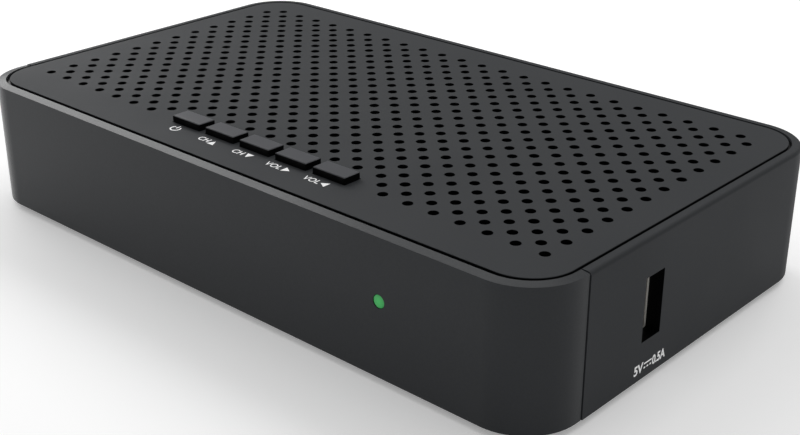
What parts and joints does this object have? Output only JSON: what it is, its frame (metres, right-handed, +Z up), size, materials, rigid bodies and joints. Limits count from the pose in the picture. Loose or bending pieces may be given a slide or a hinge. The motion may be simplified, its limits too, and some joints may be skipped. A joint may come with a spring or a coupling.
{
  "type": "satellite television receiver",
  "caption": "Flat satellite receiver: rounded vented plastic case on rubber feet with top keys, a status light, a side data port and rear aerial, audio, video and power sockets.",
  "frame": {"origin": "under the middle of the whole outline (case and rear sockets), on the plane that the feet rest on", "axes": "+X to the right of someone facing the front, +Y to the rear, +Z up"},
  "size_m": [0.17, 0.11, 0.0331],
  "materials": {
    "casing_abs": "satin",
    "bezel_abs": "satin",
    "key_abs": "satin",
    "rubber": "matte",
    "screw_steel": "satin",
    "circuit_board": "gloss",
    "chip_black": "matte",
    "header_nylon": "matte",
    "cable_vinyl": "satin",
    "green_light": "gloss",
    "tinned_steel": "satin",
    "nickel": "satin",
    "contact_gold": "gloss",
    "orange_plastic": "gloss",
    "ferrite": "matte",
    "capacitor_sleeve": "gloss",
    "anodised_aluminium": "satin"
  },
  "bodies": {
    "receiver": {"aerial_insulator": "header_nylon", "aerial_nut": "nickel", "aerial_socket": "nickel", "aerial_washer": "nickel", "audio_body": "orange_plastic", "audio_ring": "nickel", "av_jack": "chip_black", "base_tray": "casing_abs", "board_screws": "screw_steel", "cable_headers": "header_nylon", "capacitors": "capacitor_sleeve", "case_screws": "screw_steel", "coils": "ferrite", "crystal": "tinned_steel", "dc_jack": "chip_black", "dc_pin": "nickel", "front_bezel": "bezel_abs", "heat_sink": "anodised_aluminium", "key_board": "circuit_board", "key_cable": "cable_vinyl", "key_screws": "screw_steel", "led_holder": "chip_black", "light_pipe": "green_light", "main_board": "circuit_board", "memory_chips": "chip_black", "processor": "chip_black", "rear_casing": "casing_abs", "remote_eye": "chip_black", "rubber_feet": "rubber", "status_led": "green_light", "storage_chip": "chip_black", "tact_switches": "chip_black", "top_plate": "casing_abs", "tuner_can": "tinned_steel", "usb_contacts": "contact_gold", "usb_insert": "chip_black", "usb_shell": "tinned_steel", "video_shell": "tinned_steel", "video_tongue": "chip_black"},
    "power_button": {"power_key": "key_abs", "power_plunger": "key_abs"},
    "channel_up_button": {"channel_up_key": "key_abs", "channel_up_plunger": "key_abs"},
    "channel_down_button": {"channel_down_key": "key_abs", "channel_down_plunger": "key_abs"},
    "volume_up_button": {"volume_up_key": "key_abs", "volume_up_plunger": "key_abs"},
    "volume_down_button": {"volume_down_key": "key_abs", "volume_down_plunger": "key_abs"}
  },
  "joints": [
    {"name": "power_press", "type": "slide", "parent": "receiver", "child": "power_button", "axis": [0, 0, -1], "range_m": [0, 0.0005], "stiffness_N_per_m": 2000},
    {"name": "channel_up_press", "type": "slide", "parent": "receiver", "child": "channel_up_button", "axis": [0, 0, -1], "range_m": [0, 0.0005], "stiffness_N_per_m": 2000},
    {"name": "channel_down_press", "type": "slide", "parent": "receiver", "child": "channel_down_button", "axis": [0, 0, -1], "range_m": [0, 0.0005], "stiffness_N_per_m": 2000},
    {"name": "volume_up_press", "type": "slide", "parent": "receiver", "child": "volume_up_button", "axis": [0, 0, -1], "range_m": [0, 0.0005], "stiffness_N_per_m": 2000},
    {"name": "volume_down_press", "type": "slide", "parent": "receiver", "child": "volume_down_button", "axis": [0, 0, -1], "range_m": [0, 0.0005], "stiffness_N_per_m": 2000}
  ]
}
